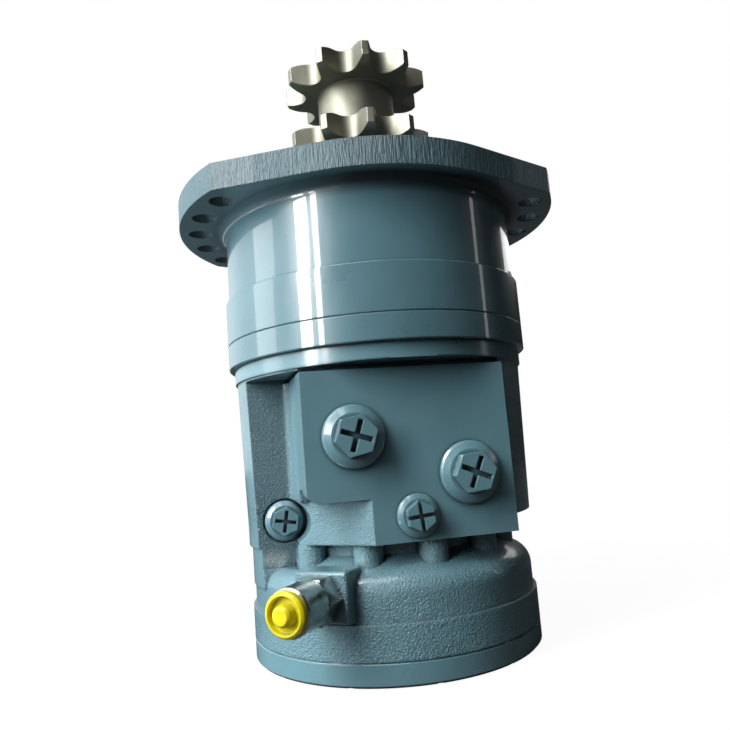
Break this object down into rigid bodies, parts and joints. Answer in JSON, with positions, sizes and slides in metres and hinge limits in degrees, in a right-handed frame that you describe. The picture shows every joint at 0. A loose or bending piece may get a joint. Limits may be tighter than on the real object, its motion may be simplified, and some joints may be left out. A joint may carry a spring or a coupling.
{
  "type": "hydraulic drive motor",
  "caption": "Upright radial piston drive motor: eared mounting flange, stacked round body, port block with plugs, brake dome and a double chain sprocket on its shaft.",
  "frame": {"origin": "centre of the pilot hub on the flange's mounting face", "axes": "+Z along the shaft towards the sprocket, -Y towards the port block's face, the flange's ears along X"},
  "size_m": [0.295, 0.2593, 0.47],
  "materials": {
    "blue_grey_paint": "gloss enamel over machined and cast iron",
    "sprocket_steel": "bare turned steel",
    "bright_steel": "ground bearing steel",
    "bare_iron": "machined iron",
    "black_bolt_steel": "black oxide",
    "seal_rubber": "moulded nitrile rubber",
    "plated_steel": "plated, slightly dull",
    "yellow_plastic": "moulded plastic",
    "friction_lining": "sintered lining",
    "spring_steel": "oil-tempered"
  },
  "bodies": {
    "housing": {"bearing_housing": "blue_grey_paint", "cam_ring": "blue_grey_paint", "rear_ring": "blue_grey_paint", "valve_case": "blue_grey_paint", "end_cover": "blue_grey_paint", "body_bolts": "black_bolt_steel", "cover_bolts": "black_bolt_steel", "front_cord": "seal_rubber", "middle_cord": "seal_rubber", "rear_cord": "seal_rubber", "port_plug_a": "blue_grey_paint", "port_plug_b": "blue_grey_paint", "gauge_plug": "blue_grey_paint", "bleed_plug": "blue_grey_paint", "drain_fitting": "plated_steel", "shaft_seal": "seal_rubber", "outer_bearing_cup": "bright_steel", "inner_bearing_cup": "bright_steel", "distributor": "bare_iron", "steel_plates": "bright_steel", "brake_spring": "spring_steel"},
    "rotor": {"output_shaft": "sprocket_steel", "double_sprocket": "sprocket_steel", "sprocket_washer": "sprocket_steel", "sprocket_bolt": "black_bolt_steel", "outer_bearing_cone": "bright_steel", "inner_bearing_cone": "bright_steel", "bearing_nut": "bright_steel", "cylinder_block": "bare_iron", "brake_shaft": "bright_steel", "friction_discs": "friction_lining", "piston_1": "bright_steel", "piston_2": "bright_steel", "piston_3": "bright_steel", "piston_4": "bright_steel", "piston_5": "bright_steel", "piston_6": "bright_steel", "piston_7": "bright_steel", "piston_8": "bright_steel", "cam_roller_1": "bright_steel", "cam_roller_2": "bright_steel", "cam_roller_3": "bright_steel", "cam_roller_4": "bright_steel", "cam_roller_5": "bright_steel", "cam_roller_6": "bright_steel", "cam_roller_7": "bright_steel", "cam_roller_8": "bright_steel"},
    "outer_rollers": {"outer_bearing_rollers": "bright_steel"},
    "inner_rollers": {"inner_bearing_rollers": "bright_steel"},
    "brake_piston_body": {"brake_piston": "bare_iron"},
    "spool": {"speed_spool": "bright_steel"},
    "dust_cap": {"fitting_cap": "yellow_plastic"}
  },
  "joints": [
    {"name": "shaft_spin", "type": "hinge", "parent": "housing", "child": "rotor", "pos_m": [0, 0, 0], "axis": [0, 0, 1], "continuous": true},
    {"name": "outer_roller_spin", "type": "hinge", "parent": "housing", "child": "outer_rollers", "pos_m": [0, 0, 0], "axis": [0, 0, 1], "continuous": true},
    {"name": "inner_roller_spin", "type": "hinge", "parent": "housing", "child": "inner_rollers", "pos_m": [0, 0, 0], "axis": [0, 0, 1], "continuous": true},
    {"name": "brake_release", "type": "slide", "parent": "housing", "child": "brake_piston_body", "axis": [0, 0, 1], "range_m": [0, 0.002], "stiffness_N_per_m": 50000, "springref_m": -0.004, "deforming": ["brake_spring"]},
    {"name": "spool_shift", "type": "slide", "parent": "housing", "child": "spool", "axis": [0, 1, 0], "range_m": [0, 0.006]},
    {"name": "cap_pull", "type": "slide", "parent": "housing", "child": "dust_cap", "axis": [-0.5948, -0.8039, 0], "range_m": [0, 0.03]}
  ],
  "couplings": [
    {"joint": "outer_roller_spin", "follows": "shaft_spin", "ratio": 0.4176},
    {"joint": "inner_roller_spin", "follows": "shaft_spin", "ratio": 0.4108}
  ]
}
